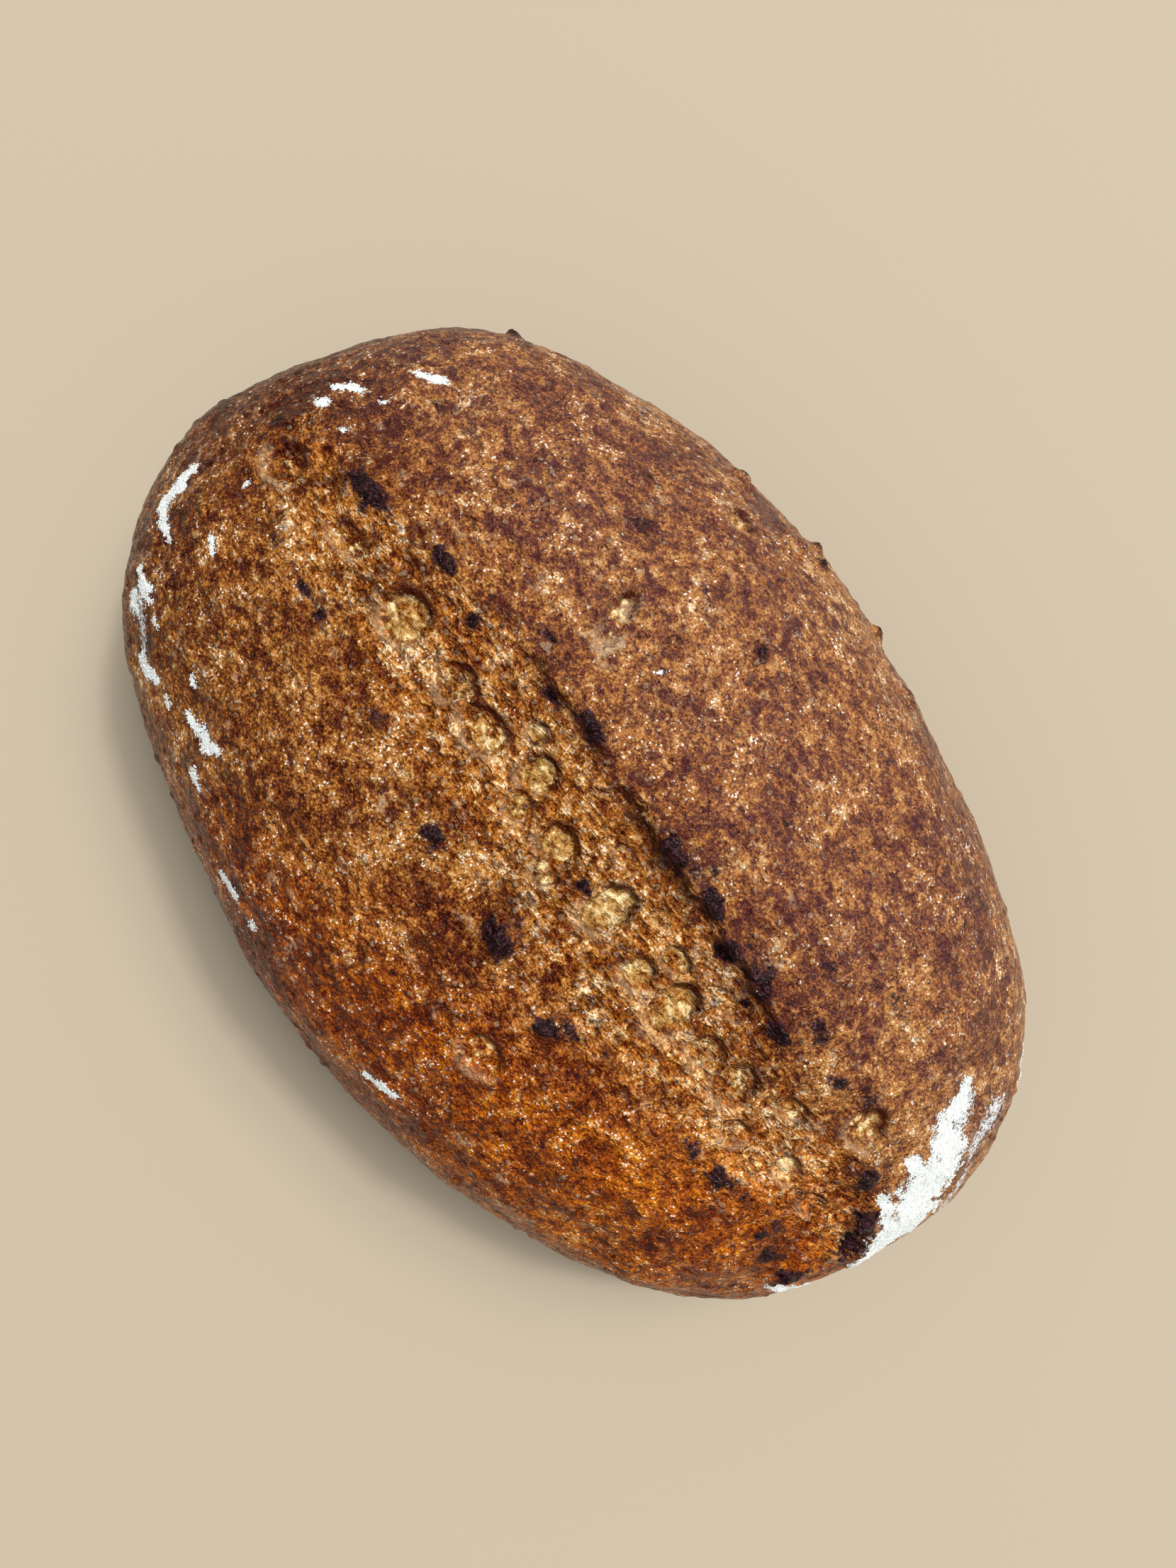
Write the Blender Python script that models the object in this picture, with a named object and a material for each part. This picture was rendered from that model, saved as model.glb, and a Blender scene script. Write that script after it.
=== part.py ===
"""Crusty hearth loaf: one uncut oval loaf, baked on a flat stone with a single long score along its back.

Metres, +Z up. +X runs along the loaf to its floury end and +Y is the side whose crust lifted into an ear
beside the score. The origin is on the base, under the middle of the loaf.
"""
import bmesh
import bpy
import numpy as np

MM = 0.001

# Body of the loaf, in millimetres. The numbers without a unit are shares or exponents.
HALF_LENGTH = 116.0
HALF_WIDTH = 74.8
HEIGHT = 80.0
OUTLINE_POWER = 2.27       # 2 is an ellipse, more is squarer
# How the oval bulges, as waves round it: number of waves, cosine share, sine share. The pair for two waves
# is the lean, more bread at two opposite corners.
OUTLINE_BULGES = ((1, 0.0, -0.005), (2, 0.003, 0.034), (3, 0.006, 0.0), (4, 0.004, 0.008), (5, 0.001, -0.005),
                  (6, -0.007, -0.004), (8, 0.0, 0.004))
DOME_ACROSS = 2.5          # superellipse powers of the dome's section
DOME_UP = 2.3
SIDE_HEIGHT = 22.0         # height of the widest line, where the sides turn under
END_DROP = 12.0            # how much lower that line is at the floury end
END_SPREAD = 0.8           # radians of the outline that the lower line covers
TUCK = 0.10                # share of the reach that the base is drawn in
END_TUCK = 0.03            # the same at the floury end, which sits flat on its skirt
WIDEST_SHARE = 0.60        # share of a sphere's half turn, from the crown, at the widest line
BASE_SHARE = 0.74          # and at the edge of the base

# The score: its two sides as (along, across), and how far its right side stands up as an ear
EAR_LINE = ((-98, 1), (-71, 2), (-52, 6), (-23, 10), (13, 10), (41, 9), (62, 7), (79, 8), (94, 2), (106, -5))
EAR_HEIGHT = ((-98, 0.0), (-70, 0.7), (-40, 1.1), (-24, 2.2), (-3, 1.4), (6, 2.8), (50, 2.5), (64, 1.1),
              (84, 1.0), (96, 2.4), (106, 3.0))
SEAM_LINE = ((-87, -17), (-57, -18), (-24, -21), (9, -23), (27, -24), (41, -22), (62, -16), (85, -15),
             (100, -16))
EAR_LIP = 1.8              # width of the step at the foot of the ear
EAR_BACK = 13.0            # width over which the crust behind the ear falls back
EAR_FOOT_DEPTH = 0.45      # how far its foot is sunk, as a share of its height
EAR_FOOT_WIDTH = 4.0
LINE_FADE = 8.0            # length over which a line dies away past its ends
BLOOM_DIP = 0.9            # depth of the opened strip between the two lines
BLOOM_EDGE = 8.0
SEAM_DEPTH = 0.7
SEAM_WIDTH = 2.4

# Charred crags and knobs: along, across, length, width, height, turn in degrees
KNOBS = (
    (-71, 2, 15, 6, 2.6, 8), (-52, 6, 8, 5, 1.7, 20), (-40, 5, 4, 3, 0.9, 0), (-57, -18, 4, 3, 0.8, 0),
    (-74, -17, 9, 4, 0.9, -10), (-35, -19, 8, 5, 1.0, 10), (-12, -22, 6, 5, 2.2, 0), (9, -23, 9, 6, 3.2, 0),
    (27, -24, 6, 4, 2.0, 10), (61, -16, 8, 6, 0.9, 0), (69, -15, 7, 5, 1.5, 10), (85, -15, 7, 5, 1.4, 0),
    (99, -16, 8, 8, 2.8, 0), (-11, 12, 11, 5, 1.4, 8), (13, 13, 12, 5, 1.6, -4), (24, 13, 9, 5, 1.3, -6),
    (34, 11, 7, 5, 1.5, 0), (40, 13, 12, 5, 1.2, -8), (50, 10, 8, 4, 1.0, -8), (66, 14, 7, 4, 1.0, 0),
    (86, 7, 9, 6, 1.6, -20), (97, 1, 9, 6, 1.8, -40), (-21, 66, 9, 7, 1.9, 10), (-15, 68, 4, 4, 1.8, 0),
    (-19, 72, 4, 4, 1.8, 0), (3, 73, 6, 4, 1.8, 0), (-38, 66, 7, 5, 1.7, 0), (-91, 44, 7, 5, 1.6, 0),
    (16, 69, 6, 4, 1.1, 0), (57, 43, 9, 7, 0.8, 30), (-7, 44, 8, 6, 0.8, -20), (30, 33, 9, 6, 0.7, 15),
)
KNOB_SHARPNESS = 1.6
# Burst blisters, shallow dishes with a thin rim: along, across, length, width, depth, turn in degrees
DISHES = (
    (-48, -5, 11, 9, 0.9, 20), (-33, -4, 8, 7, 1.1, 0), (-23, -4, 10, 9, 1.3, 10), (-17, 3, 5, 4, 1.0, 0),
    (-9, -2, 9, 7, 1.0, -20), (2, -5, 9, 8, 1.2, 0), (16, -4, 8, 11, 1.3, -8), (28, -5, 6, 6, 0.9, 0),
    (30, 0, 7, 5, 0.8, 0), (36, -4, 8, 12, 1.2, 10), (47, -4, 6, 7, 1.2, 0), (54, -3, 8, 9, 1.3, 0),
    (66, 3, 8, 5, 1.0, 20), (77, 13, 7, 8, 1.6, 0), (76, -4, 8, 6, 0.9, 0), (25, -38, 10, 8, 0.9, 10),
    (-30, 57, 7, 6, 0.9, 0), (-26, 26, 5, 14, 0.9, 30), (-55, 13, 4, 4, 0.6, 0), (-86, -8, 12, 9, 0.8, 0),
)
DISH_FLOOR = 0.45          # share of a dish that is its floor
DISH_RIM_HEIGHT = 0.3      # as a share of its depth
DISH_RIM_PLACE = 1.1
DISH_RIM_WIDTH = 0.2
# Swells of the dough: waves that cross each other, each shorter and turned on from the one before
SWELL_COUNT = 9
LONGEST_SWELL = 72.0
SWELL_SHORTENING = 0.82
SWELL_STEEPNESS = 0.006    # height of a wave for its length
SWELL_ON_SIDES = 0.35      # share of their height that is left on the sides
SWELL_TURN = 2.4           # radians, about the golden angle
SWELL_RISE = 0.55          # how much of each wave runs up the side
SIDES_TO_BACK = (20, 62)   # heights between which the sides pass into the loaf's back
RELIEF_FROM = (1.5, 12.0)  # heights between which all relief grows from nothing, so that the base is flat

SPHERE_STEPS = 7           # icosphere subdivisions before the surface is thinned
FACES_KEPT = 11000
CRUST_COLOUR = (0.30, 0.13, 0.045, 1.0)
CRUST_ROUGHNESS = 0.6


def outline(turn):
    """Reach of the loaf along and across at its widest line, for an angle round the oval."""
    along = np.cos(turn)
    across = np.sin(turn)
    squareness = (np.abs(along) ** OUTLINE_POWER + np.abs(across) ** OUTLINE_POWER) ** (-1 / OUTLINE_POWER)
    bulge = 1.0
    for waves, cosine, sine in OUTLINE_BULGES:
        bulge = bulge + cosine * np.cos(waves * turn) + sine * np.sin(waves * turn)
    reach = squareness * bulge
    return HALF_LENGTH * along * reach, HALF_WIDTH * across * reach


def floury_end(turn):
    """1 at the floury end of the oval, falling to 0 away from it."""
    return np.exp(-(turn / END_SPREAD) ** 2)


def dome_height(share, turn):
    """Height of the top crust at a share of the way out from the crown to the widest line."""
    side = SIDE_HEIGHT - END_DROP * floury_end(turn)
    return side + (HEIGHT - side) * np.clip(1 - share ** DOME_ACROSS, 0, 1) ** (1 / DOME_UP)


def loaf_point(polar, turn):
    """A point of the smooth loaf for an angle down from the crown and an angle round the oval."""
    reach_x, reach_y = outline(turn)
    side = SIDE_HEIGHT - END_DROP * floury_end(turn)
    base = 1 - TUCK + (TUCK - END_TUCK) * floury_end(turn)
    widest = WIDEST_SHARE * np.pi
    base_edge = BASE_SHARE * np.pi
    top_share = np.sin(np.clip(polar / widest, 0, 1) * np.pi / 2)
    under = np.clip((polar - widest) / (base_edge - widest), 0, 1) * np.pi / 2
    wall_share = base + (1 - base) * np.cos(under)
    base_share = base * np.clip((np.pi - polar) / (np.pi - base_edge), 0, 1)
    on_top = polar < widest
    on_wall = polar < base_edge
    share = np.where(on_top, top_share, np.where(on_wall, wall_share, base_share))
    height = np.where(on_top, dome_height(top_share, turn), side * (1 - np.sin(under)))
    return np.stack((reach_x * share, reach_y * share, height), axis=1)


def crust_place(along, across):
    """The point of the smooth top crust above a place in plan."""
    turn = np.arctan2(across / HALF_WIDTH, along / HALF_LENGTH)
    reach = np.hypot(*outline(turn))
    share = min(np.hypot(along, across) / reach, 1.0)
    return np.array((along, across, dome_height(share, turn)))


def smooth_step(value, low, high):
    share = np.clip((value - low) / (high - low), 0, 1)
    return share * share * (3 - 2 * share)


def follow(line, along):
    """Value of a hand-drawn line at each place along the loaf, and how much of the line is there."""
    places, values = np.array(line, dtype=float).T
    begins = smooth_step(along, places[0] - LINE_FADE, places[0])
    ends = smooth_step(along, places[-1], places[-1] + LINE_FADE)
    return np.interp(along, places, values), begins * (1 - ends)


def score_relief(points):
    """The ear, the step at its foot, the opened strip and the seam on its other side."""
    along = points[:, 0]
    across = points[:, 1]
    ear_place, on_ear = follow(EAR_LINE, along)
    ear_rise, _ = follow(EAR_HEIGHT, along)
    seam_place, on_seam = follow(SEAM_LINE, along)
    behind = across - ear_place
    step = smooth_step(behind, -EAR_LIP / 2, EAR_LIP / 2)
    lip = step * np.exp(-np.maximum(behind, 0) / EAR_BACK)
    foot = (1 - step) * np.exp(np.minimum(behind, 0) / EAR_FOOT_WIDTH)
    relief = on_ear * ear_rise * (lip - EAR_FOOT_DEPTH * foot)
    past_seam = smooth_step(across, seam_place, seam_place + BLOOM_EDGE)
    past_ear = smooth_step(across, ear_place - BLOOM_EDGE, ear_place)
    relief -= BLOOM_DIP * past_seam * (1 - past_ear) * on_ear * on_seam
    relief -= SEAM_DEPTH * on_seam * np.exp(-((across - seam_place) / SEAM_WIDTH) ** 2)
    return relief


def spot_distance(points, along, across, length, width, turn):
    """Distance from a spot on the crust, 1 on the edge of its oval."""
    offset = points - crust_place(along, across)
    angle = np.radians(turn)
    run = (offset[:, 0] * np.cos(angle) + offset[:, 1] * np.sin(angle)) / (length / 2)
    cross = (offset[:, 1] * np.cos(angle) - offset[:, 0] * np.sin(angle)) / (width / 2)
    rise = offset[:, 2] / ((length + width) / 4)
    return np.sqrt(run ** 2 + cross ** 2 + rise ** 2)


def knob_relief(points):
    relief = np.zeros(len(points))
    for along, across, length, width, height, turn in KNOBS:
        distance = spot_distance(points, along, across, length, width, turn)
        relief += height * np.exp(-KNOB_SHARPNESS * distance ** 2)
    return relief


def dish_relief(points):
    relief = np.zeros(len(points))
    for along, across, length, width, depth, turn in DISHES:
        distance = spot_distance(points, along, across, length, width, turn)
        relief -= depth * (1 - smooth_step(distance, DISH_FLOOR, 1.0))
        relief += DISH_RIM_HEIGHT * depth * np.exp(-((distance - DISH_RIM_PLACE) / DISH_RIM_WIDTH) ** 2)
    return relief


def swell_relief(points):
    relief = np.zeros(len(points))
    length = LONGEST_SWELL
    for number in range(SWELL_COUNT):
        angle = SWELL_TURN * number
        rise = SWELL_RISE * (-1) ** number
        run = points[:, 0] * np.cos(angle) + points[:, 1] * np.sin(angle) + points[:, 2] * rise
        relief += SWELL_STEEPNESS * length * np.sin(2 * np.pi * run / length + number ** 2)
        length *= SWELL_SHORTENING
    return relief * (SWELL_ON_SIDES + (1 - SWELL_ON_SIDES) * smooth_step(points[:, 2], *SIDES_TO_BACK))


def unit_sphere(name):
    """A fine icosphere of radius 1 as a new object, and its points."""
    mesh = bpy.data.meshes.new(name)
    shape = bmesh.new()
    bmesh.ops.create_icosphere(shape, subdivisions=SPHERE_STEPS, radius=1.0)
    shape.to_mesh(mesh)
    shape.free()
    points = np.empty(len(mesh.vertices) * 3)
    mesh.vertices.foreach_get("co", points)
    return bpy.data.objects.new(name, mesh), points.reshape(-1, 3)


def set_points(mesh, points):
    mesh.vertices.foreach_set("co", (points * MM).ravel())
    mesh.update()


def crust_normals(mesh):
    normals = np.empty(len(mesh.vertices) * 3, dtype=np.float32)
    mesh.vertex_normals.foreach_get("vector", normals)
    return normals.reshape(-1, 3)


def crust_material():
    material = bpy.data.materials.new("baked crust")
    material.use_nodes = True
    shader = material.node_tree.nodes["Principled BSDF"]
    shader.inputs["Base Color"].default_value = CRUST_COLOUR
    shader.inputs["Roughness"].default_value = CRUST_ROUGHNESS
    shader.inputs["Metallic"].default_value = 0.0
    return material


def make_loaf():
    """The loaf: a sphere drawn out to the oval dome, then raised and sunk along its own normals."""
    loaf, directions = unit_sphere("loaf")
    polar = np.arccos(np.clip(directions[:, 2] / np.linalg.norm(directions, axis=1), -1, 1))
    turn = np.arctan2(directions[:, 1], directions[:, 0])
    smooth = loaf_point(polar, turn)
    set_points(loaf.data, smooth)
    relief = score_relief(smooth) + knob_relief(smooth) + dish_relief(smooth) + swell_relief(smooth)
    relief *= smooth_step(smooth[:, 2], *RELIEF_FROM)
    crust = smooth + crust_normals(loaf.data) * relief[:, None]
    middle = (crust.min(axis=0) + crust.max(axis=0)) / 2
    crust[:, :2] -= middle[:2]
    set_points(loaf.data, crust)
    thin = loaf.modifiers.new("fewer faces where the crust is smooth", "DECIMATE")
    thin.ratio = FACES_KEPT / len(loaf.data.polygons)
    loaf.data.materials.append(crust_material())
    loaf.data.shade_smooth()
    return loaf


def main():
    for old in list(bpy.data.objects):
        bpy.data.objects.remove(old)
    bread = bpy.data.collections.new("crusty loaf")
    bpy.context.scene.collection.children.link(bread)
    bread.objects.link(make_loaf())


main()
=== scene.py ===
"""Looks of the oval hearth loaf: its crust with the score, blisters and burns, the flour that lies on it,
and the stage that it rests on. The crust is worked out in millimetres from the same sizes as the solid loaf.
"""
import inspect
import math
from functools import partialmethod

import bpy
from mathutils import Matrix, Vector


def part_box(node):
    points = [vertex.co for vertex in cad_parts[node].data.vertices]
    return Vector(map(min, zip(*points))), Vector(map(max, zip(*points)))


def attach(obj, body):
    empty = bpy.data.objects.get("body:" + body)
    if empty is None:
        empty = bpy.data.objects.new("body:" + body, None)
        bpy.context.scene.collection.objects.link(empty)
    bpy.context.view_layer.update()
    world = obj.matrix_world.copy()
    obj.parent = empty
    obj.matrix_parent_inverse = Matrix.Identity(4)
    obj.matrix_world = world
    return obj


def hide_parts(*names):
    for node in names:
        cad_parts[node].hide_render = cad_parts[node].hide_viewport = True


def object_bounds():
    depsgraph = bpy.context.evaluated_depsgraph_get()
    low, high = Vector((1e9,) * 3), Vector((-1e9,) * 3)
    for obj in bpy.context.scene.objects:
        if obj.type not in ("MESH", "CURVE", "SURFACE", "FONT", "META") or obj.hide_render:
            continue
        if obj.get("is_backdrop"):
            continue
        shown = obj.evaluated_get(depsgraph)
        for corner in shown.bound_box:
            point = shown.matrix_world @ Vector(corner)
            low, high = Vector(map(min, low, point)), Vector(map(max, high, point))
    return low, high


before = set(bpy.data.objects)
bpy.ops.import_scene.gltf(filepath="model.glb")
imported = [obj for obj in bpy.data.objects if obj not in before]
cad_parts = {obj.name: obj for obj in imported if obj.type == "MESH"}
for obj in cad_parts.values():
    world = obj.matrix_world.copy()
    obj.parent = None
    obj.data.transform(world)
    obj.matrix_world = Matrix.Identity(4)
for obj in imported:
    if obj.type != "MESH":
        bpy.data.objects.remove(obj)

bl_info = {
    "name": "Oval hearth loaf",
    "version": (1, 0, 0),
    "blender": (4, 5, 0),
    "location": "View3D > Sidebar > Loaf",
    "description": "Makes the crust, the flour and the stage of an oval hearth loaf",
    "category": "Object",
}

MM = 0.001

# Body of the loaf, in millimetres. The numbers without a unit are shares or exponents.
OUTLINE_POWER = 2.27       # 2 is an ellipse, more is squarer
OUTLINE_BULGES = ((1, 0.0, -0.005), (2, 0.003, 0.034), (3, 0.006, 0.0), (4, 0.004, 0.008), (5, 0.001, -0.005),
                  (6, -0.007, -0.004), (8, 0.0, 0.004))  # waves round the oval, cosine share, sine share
DOME_ACROSS = 2.5
DOME_UP = 2.3
SIDE_HEIGHT = 22.0
END_DROP = 12.0
END_SPREAD = 0.8
TUCK = 0.10
END_TUCK = 0.03
LINE_FADE = 8.0

# Lines of the score: (along, value)
EAR_LINE = ((-98, 1), (-71, 2), (-52, 6), (-23, 10), (13, 10), (41, 9), (62, 7), (79, 8), (94, 2), (106, -5))
EAR_HEIGHT = ((-98, 0.0), (-70, 0.5), (-40, 0.8), (-24, 1.6), (-10, 1.8), (-4, 0.7), (2, 2.0), (20, 2.3),
              (46, 1.9), (58, 0.8), (84, 0.7), (96, 1.3), (106, 0.9))
SEAM_LINE = ((-87, -17), (-57, -18), (-24, -21), (9, -23), (27, -24), (41, -22), (62, -16), (85, -15),
             (100, -16))
# How strongly the painted shadow at the foot of the ear is laid along the loaf
GROOVE_DARKNESS = ((-98, 0.0), (-60, 0.0), (-36, 0.1), (-24, 0.9), (-10, 0.9), (-4, 0.15), (1, 0.9),
                   (20, 1.0), (48, 1.0), (57, 0.3), (75, 0.2), (88, 0.5), (96, 0.9), (106, 0.6))
EAR_LIP = (6.0, 1.3)       # width of the step where it is faint and where it is sharp
EAR_BACK = 13.0            # width over which the crust behind the ear falls back
EAR_FOOT_DEPTH = 0.55
EAR_FOOT_WIDTH = 4.0
BLOOM_DIP = 0.9
BLOOM_EDGE = 8.0
SEAM_DEPTH = 0.7
SEAM_WIDTH = 2.4
WANDER_SIZE = 6.5          # length of the bends in the lines of the score
WANDER_REACH = 7.0
RISE_SIZE = 8.0            # length of the ups and downs of the ear
RISE_RANGE = (0.2, 1.8)
BEHIND_LIMIT = 9.0         # the distance from the ear is kept for the colours up to here

# Raised crags and knobs: along, across, length, width, height, turn in degrees, how burnt
KNOBS = (
    (-71, 2, 15, 6, 2.4, 8, 1.0), (-52, 6, 8, 5, 1.6, 20, 0.95), (-40, 5, 4, 3, 0.9, 0, 0.85),
    (-57, -18, 4, 3, 0.8, 0, 0.8), (-74, -17, 9, 4, 0.9, -10, 0.45), (-35, -19, 8, 5, 1.0, 10, 0.6),
    (-12, -22, 6, 5, 2.0, 0, 0.95), (9, -23, 9, 6, 3.2, 0, 1.2), (27, -24.5, 6, 4, 2.0, 10, 1.1),
    (61, -16, 8, 6, 0.9, 0, 0.65), (69, -15, 7, 5, 1.5, 10, 0.9), (85, -15, 7, 5, 1.4, 0, 0.75),
    (99, -16, 9, 8, 2.4, 0, 1.0), (-12, 11, 11, 5, 1.2, 8, 1.0), (14, 11, 12, 5, 1.4, -4, 1.05),
    (24, 11.5, 10, 6, 1.2, -6, 1.0), (33, 9.5, 7, 5, 1.3, 0, 1.05), (41, 11, 12, 6, 1.0, -8, 0.9),
    (50, 8.5, 9, 4, 0.9, -8, 0.95), (65, 13, 7, 4, 0.9, 0, 0.7), (86, 7, 9, 6, 1.2, -20, 0.9),
    (95, 3, 9, 6, 0.8, -40, 1.1), (-21, 66, 9, 7, 1.9, 10, 0.45), (-15, 68, 4, 4, 1.8, 0, 1.0),
    (-19, 72, 4, 4, 1.8, 0, 0.9), (3, 73, 6, 4, 1.8, 0, 0.6), (-38, 66, 7, 5, 1.7, 0, 0.4),
    (-91, 44, 7, 5, 1.6, 0, 0.9), (16, 69, 6, 4, 1.1, 0, 0.5), (57, 43, 9, 7, 0.8, 30, 0.3),
    (-7, 44, 8, 6, 0.8, -20, 0.6), (30, 33, 9, 6, 0.7, 15, 0.3),
)
KNOB_SHARPNESS = 1.6
# Burst blisters: along, across, length, width, depth, turn in degrees, how straw-coloured the floor is
DISHES = (
    (-48, -5, 11, 11, 1.0, 20, 0.85), (-33, -4, 8, 8, 1.1, 0, 0.55), (-23, -4.5, 11, 9, 1.3, 10, 0.65),
    (-17, 3, 5, 4.5, 1.0, 0, 0.8), (-11, -1, 8, 9, 1.1, -20, 0.95), (-8, -7, 6, 6, 0.8, 0, 0.7),
    (1, -5, 9, 8, 1.2, 0, 0.9), (4, -10, 6, 5, 0.6, 0, 0.5), (15.5, -4, 8.5, 12.5, 1.4, -10, 1.0),
    (28, -6, 6.5, 7, 0.9, 0, 0.9), (30, 1, 7, 5.5, 0.9, 0, 0.85), (37, -4.5, 9, 13, 1.2, 10, 0.8),
    (44, 5.5, 4, 5, 0.9, 0, 0.35), (47, -4, 7, 8, 1.2, 0, 0.6), (55, -3, 9, 10, 1.3, 0, 0.5),
    (66, 3, 8, 5, 1.0, 20, 0.5), (77, 12.5, 8, 9, 1.7, 0, 0.7), (76, -4, 8, 6, 0.9, 0, 0.5),
    (25, -38, 10, 9, 0.9, 10, 0.4), (-30, 57, 7, 6, 0.9, 0, 0.5), (-26, 26, 5, 14, 0.9, 30, 0.5),
    (-55, 13, 4, 4, 0.6, 0, 0.0), (-86, -8, 12, 9, 0.8, 0, 0.35), (-66, -6, 9, 6, 0.6, 10, 0.4),
    (63, -8, 7, 6, 0.8, 30, 0.4), (86, -4, 7, 6, 0.8, 0, 0.4), (22, 3.5, 4, 4, 0.7, 0, 0.5),
    (9, 3.5, 4.5, 4, 0.7, 0, 0.5), (100, -1.5, 15, 5, 1.7, -42, 0.0),
)
DISH_FLOOR = 0.66
DISH_RIM_HEIGHT = 0.35
DISH_RIM_PLACE = 1.1
DISH_RIM_WIDTH = 0.2
# Painted shade on the inner wall of a burst blister on the side the light comes from, and a painted highlight
# on the wall across from it: place and width of each
DISH_WALL = (0.84, 0.17)   # place and width of the shaded wall
DISH_LIT_WALL = (1.0, 0.14)
DISH_PALE = (0.62, 0.9)    # where the pale floor starts to fade and where it ends
# Flat burns: along, across, length, width, turn in degrees, darkness
BURNS = (
    (-64, -17.5, 12, 2.5, 0, 0.7), (-21, 8.5, 6, 3, 0, 0.8), (10, -5.5, 5, 4, 0, 0.8),
    (92, -17, 10, 7, 0, 0.8), (43, 7, 2.4, 2.2, 0, 1.1), (-57, -18, 2.6, 2.2, 0, 1.0),
    (-17, 33, 7, 4, 30, 0.5), (75, -14, 16, 4, 0, 0.6), (3, 52, 6, 5, 0, 0.6), (-39, 40, 12, 8, 20, 0.5),
    (-47, 47, 7, 5, 0, 0.55), (-8, 22, 5, 4, 0, 0.55), (45, 22, 8, 5, 10, 0.55), (54, 15, 12, 5, -8, 0.6),
    (72, 16, 12, 6, -10, 0.6), (37, -19, 10, 3, -8, 0.5), (-91, -16, 8, 5, 20, 0.35),
    (-30, 14, 7, 2.5, 20, 0.7), (100, -2, 14, 4.5, -42, 1.2), (-78, 22, 8, 4, 0, 0.45),
    (29, -22, 9, 5, 0, 0.55), (9, -19, 8, 5, 0, 0.5), (38, 13, 22, 7, -6, 0.5), (18, 15, 14, 6, -6, 0.4),
    (-56, 9, 10, 4, 10, 0.5), (20, 30, 9, 7, 0, 0.45), (-20, 44, 9, 6, 30, 0.5), (34, 44, 10, 6, 0, 0.4),
    (60, 30, 9, 6, 0, 0.4), (-60, 30, 9, 6, 20, 0.45), (86, -12, 8, 5, 0, 0.6), (104, -6, 10, 3, -60, 0.7),
)
# Flour that lies on the crust: points (along, across, width) of each stroke
FLOUR = (
    ((84.6, 34.4, 2.6), (87.2, 31.2, 4.4), (87.4, 27.4, 4.6), (90.6, 24.8, 5.4), (95, 23.6, 7.4),
     (97.4, 20, 9.6), (99, 15.6, 10.6), (102.6, 9.6, 9.4), (104.8, 3.8, 7.8), (106.8, -0.6, 5.4),
     (108.0, -4.0, 2.6)),
    ((89.6, 16.8, 2.8), (93, 17.0, 4.0), (98, 15.4, 6.0)), ((91.4, 8.0, 2.8), (95, 7.6, 2.4), (99, 6.3, 3.2)),
    ((99, 6.3, 3.2), (103, 5.6, 4)), ((91.5, 50.4, 1.2), (95.5, 47, 1.4), (98, 44.3, 1.2)),
    ((-99, -24.4, 2.2), (-97, -28, 2.4), (-97.6, -31, 2.6), (-96, -33.4, 2.6), (-92.5, -34.6, 2.0),
     (-88.4, -35.0, 1.0)),
    ((-87.3, -43.2, 2.0), (-84.6, -43.8, 2.8), (-82.6, -43.4, 2.2)), ((-84.8, -47.5, 2.4), (-83, -49.0, 2.6)),
    ((-83, -45, 1.4), (-80.6, -44.4, 1.0)), ((-77.1, -45.6, 1.0), (-75.3, -46, 0.8)),
    ((-74.3, -53.2, 1.8), (-72.4, -54, 2.0), (-68.2, -53.2, 1.2)), ((-64.2, -53.2, 1.2), (-62.9, -53.8, 1.2)),
    ((-63.2, -46.1, 1.0), (-61.5, -46.3, 0.9)), ((-58.7, -51.1, 1.2), (-56.4, -51, 1.2), (-54.2, -50.2, 2.2)),
    ((-54.2, -50.2, 2.2), (-51, -50.4, 2.6), (-48.6, -48.8, 1.8)), ((-49.5, -56.4, 1.5), (-45.4, -57.2, 1.3)),
    ((-30.1, -63.5, 1.2), (-27, -62.8, 1.5), (-24.1, -62.4, 0.9)), ((-18.4, -63.5, 1.3), (-17.8, -63.5, 1.3)),
    ((17.8, -62, 1.3), (21, -60.3, 1.5), (24.4, -58.8, 1.0)), ((-81.7, -27.4, 1.2), (-79.2, -28.9, 0.9)),
    ((-87.4, -16.1, 1.3), (-86.6, -17.5, 0.9)), ((-95.5, 7.6, 1.5), (-93.6, 10, 1.7), (-91.9, 11.5, 1.2)),
    ((-93.6, 3.2, 2.0), (-93, 3.9, 2.0)), ((-87.8, 21.7, 1.3), (-85.6, 24, 1.5), (-83.5, 25.7, 1.2)),
    ((-86.1, 13.3, 1.1), (-85.7, 13.7, 1.1)), ((-84.9, 3.8, 0.9), (-84.2, 4.2, 0.9)),
    ((100.4, -20.8, 1.8), (104.5, -20.2, 2.6), (107.4, -17.6, 2.2), (108.4, -14.6, 1.4)),
    ((-14, 26.8, 0.8), (-13.7, 27.2, 0.8)),
)
# Thin dusting, the same way
DUST = (
    ((94.9, 37.7, 7.0), (97.5, 31.3, 6.0), (101.5, 27.5, 4.0)), ((104.2, 27.1, 3.0), (109.5, 18, 3.2),
     (112.4, 10.8, 3.2), (112.4, 0, 3.0)), ((88, 33, 5.0), (92, 27, 7.0), (96, 20, 11.0), (101, 8, 11.0),
     (106, -1, 5.0)), ((-99, -24, 2.4), (-96.5, -32, 3.4)), ((-83, -46, 4.0), (-72, -54, 2.4)),
)
# Long places where the crust stayed paler and more golden: along, across, length, width, turn, strength
PALE = ((-45, -6, 78, 17, 2, 0.6), (-70, -9, 34, 20, 0, 0.35), (45, -6, 90, 20, 2, 0.35),
        (88, 12, 18, 16, 0, 0.4))
GLASSY = ((-26.5, 29, 7, 4.5, -50, 1.0), (-22.5, 22, 8, 5, -80, 1.0), (-29, 12.4, 6, 3.4, 0, 0.9),
          (-17, 33, 5, 2.5, -60, 0.5))
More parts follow.
